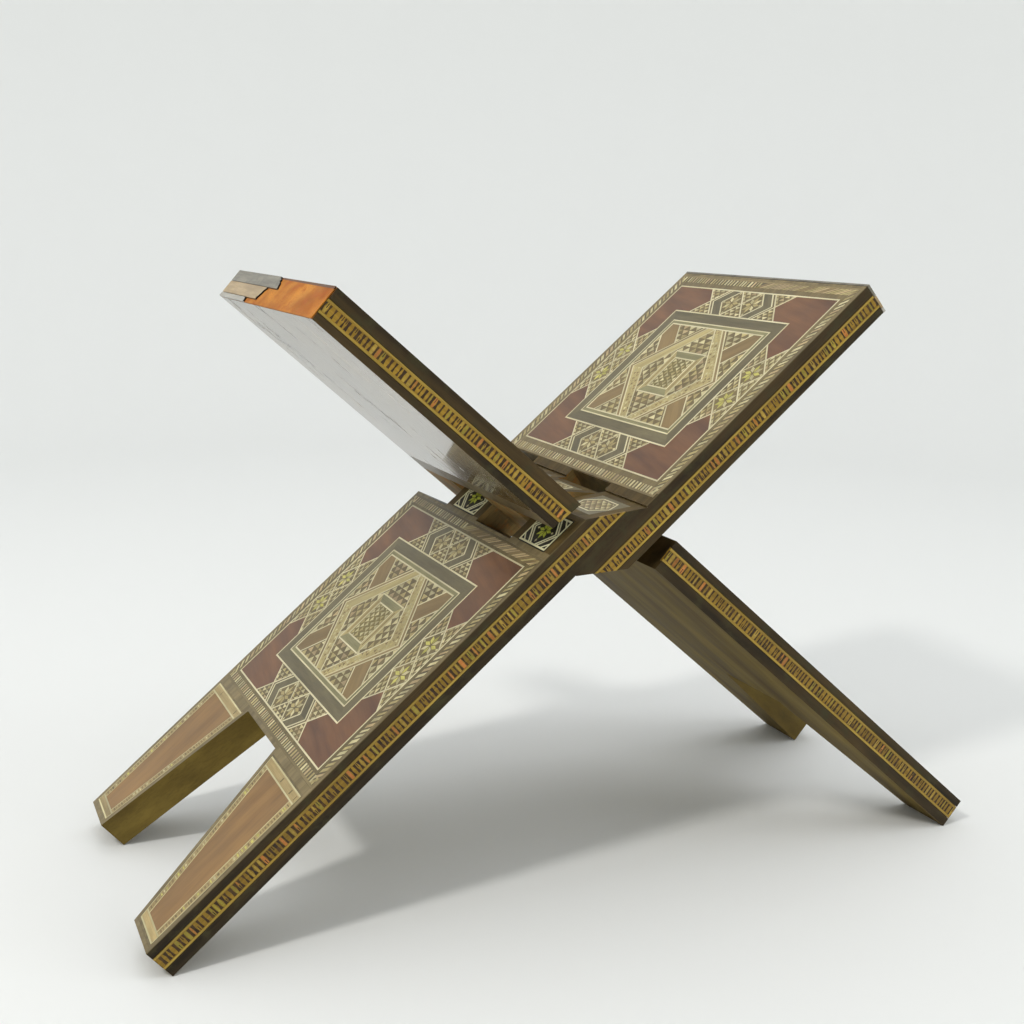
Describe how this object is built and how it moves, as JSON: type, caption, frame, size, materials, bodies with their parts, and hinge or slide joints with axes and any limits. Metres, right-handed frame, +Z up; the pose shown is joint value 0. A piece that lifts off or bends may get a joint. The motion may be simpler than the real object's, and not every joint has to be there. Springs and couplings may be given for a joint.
{
  "type": "quran stand",
  "caption": "Folding book stand of two interlocked wooden boards that open like an X, with marquetry sheets, legs and mosaic edge bands.",
  "frame": {"origin": "on the ground, midway between the feet, under the hinge axis", "axes": "+X from the feet of board A to the feet of board B, +Y along the hinge axis away from the viewer, +Z up"},
  "size_m": [0.438, 0.171, 0.2927],
  "materials": {
    "walnut": "satin varnish on dark wood",
    "marquetry": "satin varnished wood and bone inlay",
    "leg_marquetry": "satin varnished veneer with a mosaic border",
    "knuckle_marquetry": "satin varnished inlay tile",
    "edge_mosaic": "satin varnished yellow wood mosaic",
    "pale_strip": "worn pale veneer",
    "dark_strip": "worn grey-brown veneer"
  },
  "bodies": {
    "board_a": {"board_a_core": "walnut", "board_a_apron_sheet": "marquetry", "board_a_book_rest_sheet": "marquetry", "board_a_near_leg_sheet": "leg_marquetry", "board_a_far_leg_sheet": "leg_marquetry", "board_a_edge_finger_tile": "knuckle_marquetry", "board_a_edge_bevel_tile": "knuckle_marquetry", "board_a_middle_finger_tile": "knuckle_marquetry", "board_a_middle_bevel_tile": "knuckle_marquetry", "board_a_near_lower_band": "edge_mosaic", "board_a_near_rest_band": "edge_mosaic", "board_a_far_lower_band": "edge_mosaic", "board_a_far_rest_band": "edge_mosaic", "board_a_inner_end_strip": "dark_strip", "board_a_middle_end_strip": "pale_strip", "board_a_outer_end_strip": "dark_strip"},
    "board_b": {"board_b_core": "walnut", "board_b_apron_sheet": "marquetry", "board_b_book_rest_sheet": "marquetry", "board_b_far_leg_sheet": "leg_marquetry", "board_b_near_leg_sheet": "leg_marquetry", "board_b_edge_finger_tile": "knuckle_marquetry", "board_b_edge_bevel_tile": "knuckle_marquetry", "board_b_middle_finger_tile": "knuckle_marquetry", "board_b_middle_bevel_tile": "knuckle_marquetry", "board_b_far_lower_band": "edge_mosaic", "board_b_far_rest_band": "edge_mosaic", "board_b_near_lower_band": "edge_mosaic", "board_b_near_rest_band": "edge_mosaic", "board_b_inner_end_strip": "dark_strip", "board_b_middle_end_strip": "pale_strip", "board_b_outer_end_strip": "dark_strip"}
  },
  "joints": [
    {"name": "fold", "type": "hinge", "parent": "board_a", "child": "board_b", "pos_m": [0, 0, 0.17827], "axis": [0, 1, 0], "range_deg": [0, 98.74]}
  ]
}
